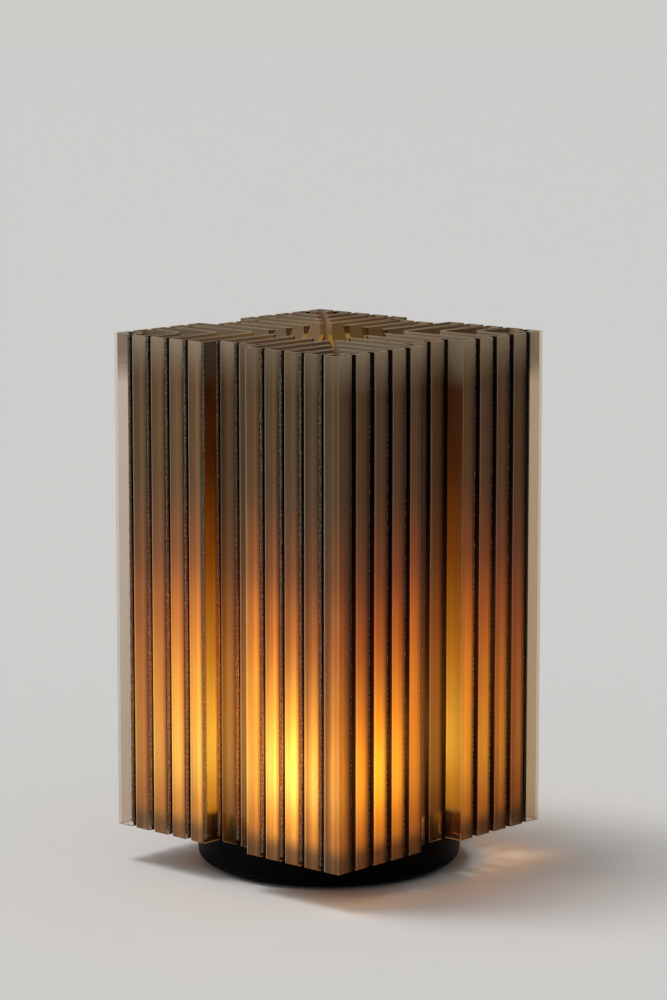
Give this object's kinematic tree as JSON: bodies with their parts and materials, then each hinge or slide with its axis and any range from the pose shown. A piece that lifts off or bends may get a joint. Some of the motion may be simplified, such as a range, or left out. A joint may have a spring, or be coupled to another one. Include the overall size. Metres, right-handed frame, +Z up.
{
  "type": "cordless table lamp",
  "caption": "Cordless table lamp: a square, deeply pleated translucent shade, open at the top, that lifts off a round black base with a rear power button and charging socket.",
  "frame": {"origin": "centre of the underside of the foot ring, on the surface that the lamp stands on", "axes": "+Z up along the lamp's axis; the shade's sides face +X, -X, +Y and -Y; the controls are at the back, +Y"},
  "size_m": [0.117, 0.117, 0.2085],
  "materials": {
    "smoky_print": "translucent printed plastic, satin",
    "black_plastic": "fine matte grain",
    "plate_steel": "black powder coat",
    "foot_rubber": "matte",
    "screw_steel": "zinc plated",
    "cell_foil": "satin foil",
    "foam": "matte foam",
    "circuit_board": "satin solder mask",
    "component_black": "moulded epoxy",
    "plug_white": "moulded nylon",
    "socket_steel": "bright nickel",
    "light_pipe": "clear moulded plastic",
    "spreader_aluminium": "turned",
    "thermal_grey": "matte",
    "led_board_white": "white solder mask on metal core",
    "led_yellow": "phosphor",
    "opal": "opal, satin",
    "lead_red": "silicone",
    "lead_black": "silicone"
  },
  "bodies": {
    "base": {"base_housing": "black_plastic", "bottom_plate": "plate_steel", "plate_screws": "screw_steel", "foot_ring": "foot_rubber", "battery_pouch": "cell_foil", "battery_pad": "foam", "battery_guard": "circuit_board", "main_board": "circuit_board", "board_screws": "screw_steel", "board_parts": "component_black", "lead_plugs": "plug_white", "usb_socket": "socket_steel", "usb_tongue": "component_black", "tact_switch": "component_black", "charge_light": "light_pipe", "heat_spreader": "spreader_aluminium", "thermal_pad": "thermal_grey", "led_board": "led_board_white", "led_chips": "led_yellow", "led_screws": "screw_steel", "diffuser": "opal", "diffuser_ring": "black_plastic", "ring_screws": "screw_steel", "battery_lead_red": "lead_red", "battery_lead_black": "lead_black", "led_lead_red": "lead_red", "led_lead_black": "lead_black"},
    "lifted_shade": {"shade": "smoky_print"},
    "button": {"power_button": "black_plastic", "switch_plunger": "plug_white"}
  },
  "joints": [
    {"name": "shade_lift", "type": "slide", "parent": "base", "child": "lifted_shade", "axis": [0, 0, 1], "range_m": [0, 0.04]},
    {"name": "button_press", "type": "slide", "parent": "base", "child": "button", "axis": [0, -1, 0], "range_m": [0, 0.0008], "stiffness_N_per_m": 2500}
  ]
}
